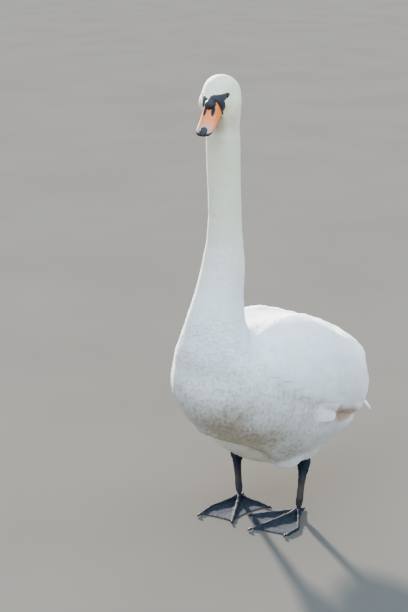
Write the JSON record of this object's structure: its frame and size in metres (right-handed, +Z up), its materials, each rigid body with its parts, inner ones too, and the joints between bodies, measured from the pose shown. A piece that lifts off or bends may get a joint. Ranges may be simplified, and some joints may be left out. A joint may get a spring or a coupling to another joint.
{
  "type": "mute swan",
  "caption": "Life-size still model of an adult mute swan standing upright with its neck straight up, orange bill, black knob and dark webbed feet.",
  "frame": {"origin": "on the floor below the middle of the whole swan's box", "axes": "+Z is up, -Y is the way the swan faces and +X is its left side"},
  "size_m": [0.3594, 0.7984, 1.1095],
  "materials": {
    "plumage": "soft white feathers",
    "bill": "satin horn, orange",
    "bill_black": "satin horn, black",
    "eye": "polished dark brown",
    "leg_skin": "scaly, blackish grey",
    "claw": "satin horn, blackish"
  },
  "bodies": {
    "root": {"head": "plumage", "neck_upper": "plumage", "neck_lower": "plumage", "trunk": "plumage", "tail": "plumage", "wing_left": "plumage", "thigh_left": "plumage", "leg_left": "leg_skin", "foot_left": "leg_skin", "eye_left": "eye", "claw_left_outer": "claw", "claw_left_middle": "claw", "claw_left_inner": "claw", "claw_left_hind": "claw", "wing_right": "plumage", "thigh_right": "plumage", "leg_right": "leg_skin", "foot_right": "leg_skin", "eye_right": "eye", "claw_right_outer": "claw", "claw_right_middle": "claw", "claw_right_inner": "claw", "claw_right_hind": "claw", "bill_upper": "bill", "bill_lower": "bill_black", "bill_nail": "bill_black", "bill_knob": "bill_black"}
  },
  "joints": []
}
